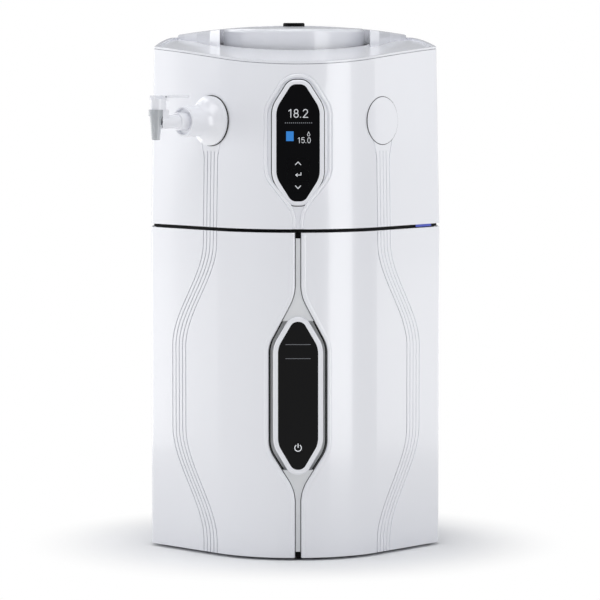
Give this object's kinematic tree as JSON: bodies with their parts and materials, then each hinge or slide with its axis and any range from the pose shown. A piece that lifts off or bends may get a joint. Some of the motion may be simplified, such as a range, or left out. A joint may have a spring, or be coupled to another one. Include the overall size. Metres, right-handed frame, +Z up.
{
  "type": "ultrapure water system",
  "caption": "White bench-top ultrapure water purifier with curved cabinet doors, an upright display, a dispense tap with a lever and a reservoir under a round lid.",
  "frame": {"origin": "centre of the footprint, on the surface that the feet stand on", "axes": "+X to the right as seen from the front, +Y to the rear, +Z up"},
  "size_m": [0.4098, 0.3986, 0.7445],
  "materials": {
    "gloss_white_shell": "glossy moulded white plastic",
    "white_nylon": "satin white plastic",
    "black_gloss_panel": "glossy black tinted panel",
    "black_plastic": "satin black plastic",
    "grey_translucent": "smoky translucent plastic nozzle",
    "grey_plastic": "moulded grey plastic",
    "blue_light_guide": "blue diffusing light guide",
    "rubber_black": "black rubber",
    "silicone_seal": "translucent silicone rubber",
    "natural_polyethylene": "natural moulded polyethylene",
    "steel_sheet": "brushed stainless sheet",
    "steel_pin": "turned stainless steel",
    "grey_painted_metal": "grey painted metal",
    "aluminium_case": "folded aluminium",
    "green_board": "green circuit board",
    "blue_tubing": "blue polyethylene tube",
    "brass_valve": "machined brass"
  },
  "bodies": {
    "cabinet": {"base_pan": "steel_sheet", "feet": "rubber_black", "rear_casing": "gloss_white_shell", "mid_deck": "black_plastic", "seam_light": "blue_light_guide", "left_hinge_pins": "steel_pin", "right_hinge_pins": "steel_pin", "front_spine": "white_nylon", "door_magnets": "steel_pin", "pod_bezel": "gloss_white_shell", "pod_window": "black_gloss_panel", "display_bezel": "gloss_white_shell", "display_window": "black_gloss_panel", "panel_boards": "green_board", "upper_housing": "gloss_white_shell", "top_cover": "gloss_white_shell", "reservoir_tank": "natural_polyethylene", "level_stem": "white_nylon", "tap_collar": "gloss_white_shell", "tap_barrel": "gloss_white_shell", "tap_spout": "grey_translucent", "tap_bonnet": "gloss_white_shell", "tap_lever_pin": "steel_pin", "tap_backnut": "white_nylon", "tap_tube": "blue_tubing", "blank_cap": "gloss_white_shell", "chassis_plate": "steel_sheet", "pack_shelves": "steel_sheet", "pack_manifolds": "grey_plastic", "uv_chamber": "steel_pin", "ultrafilter": "white_nylon", "ro_vessel": "white_nylon", "vessel_end_caps": "black_plastic", "vessel_clips": "grey_plastic", "conductivity_cell": "grey_plastic", "pump_motor": "grey_painted_metal", "pump_head": "black_plastic", "power_supply": "aluminium_case", "control_board": "green_board", "solenoid_valve": "brass_valve", "process_tubing": "blue_tubing", "mains_inlet": "black_plastic", "feed_inlet": "white_nylon", "drain_outlet": "white_nylon", "wall_bracket": "steel_sheet", "panel_screws": "steel_pin"},
    "left_door_leaf": {"left_door": "gloss_white_shell"},
    "right_door_leaf": {"right_door": "gloss_white_shell"},
    "power_key": {"power_button": "black_gloss_panel"},
    "up_key_body": {"up_key": "black_gloss_panel"},
    "enter_key_body": {"enter_key": "black_gloss_panel"},
    "down_key_body": {"down_key": "black_gloss_panel"},
    "dispense_lever": {"tap_lever": "gloss_white_shell"},
    "lid_assembly": {"reservoir_lid": "gloss_white_shell", "lid_seal": "silicone_seal", "vent_filter_body": "white_nylon", "vent_filter_cap": "black_plastic"},
    "float_body": {"level_float": "white_nylon"},
    "left_pack_body": {"left_pack": "white_nylon"},
    "right_pack_body": {"right_pack": "white_nylon"}
  },
  "joints": [
    {"name": "left_door_hinge", "type": "hinge", "parent": "cabinet", "child": "left_door_leaf", "pos_m": [-0.197, -0.02608, 0.23], "axis": [0, 0, 1], "range_deg": [-110, 0]},
    {"name": "right_door_hinge", "type": "hinge", "parent": "cabinet", "child": "right_door_leaf", "pos_m": [0.197, -0.02608, 0.23], "axis": [0, 0, 1], "range_deg": [0, 110]},
    {"name": "power_press", "type": "slide", "parent": "cabinet", "child": "power_key", "axis": [0, 1, 0], "range_m": [0, 0.0006], "stiffness_N_per_m": 400},
    {"name": "up_press", "type": "slide", "parent": "cabinet", "child": "up_key_body", "axis": [0, 1, 0], "range_m": [0, 0.0006], "stiffness_N_per_m": 400},
    {"name": "enter_press", "type": "slide", "parent": "cabinet", "child": "enter_key_body", "axis": [0, 1, 0], "range_m": [0, 0.0006], "stiffness_N_per_m": 400},
    {"name": "down_press", "type": "slide", "parent": "cabinet", "child": "down_key_body", "axis": [0, 1, 0], "range_m": [0, 0.0006], "stiffness_N_per_m": 400},
    {"name": "tap_lever_hinge", "type": "hinge", "parent": "cabinet", "child": "dispense_lever", "pos_m": [-0.18617, -0.18126, 0.6437], "axis": [0.6691, -0.7431, 0], "range_deg": [0, 60]},
    {"name": "lid_lift", "type": "slide", "parent": "cabinet", "child": "lid_assembly", "axis": [0, 0, 1], "range_m": [0, 0.06]},
    {"name": "float_slide", "type": "slide", "parent": "cabinet", "child": "float_body", "axis": [0, 0, 1], "range_m": [0, 0.155]},
    {"name": "left_pack_slide", "type": "slide", "parent": "cabinet", "child": "left_pack_body", "axis": [0, -1, 0], "range_m": [0, 0.014]},
    {"name": "right_pack_slide", "type": "slide", "parent": "cabinet", "child": "right_pack_body", "axis": [0, -1, 0], "range_m": [0, 0.014]}
  ]
}
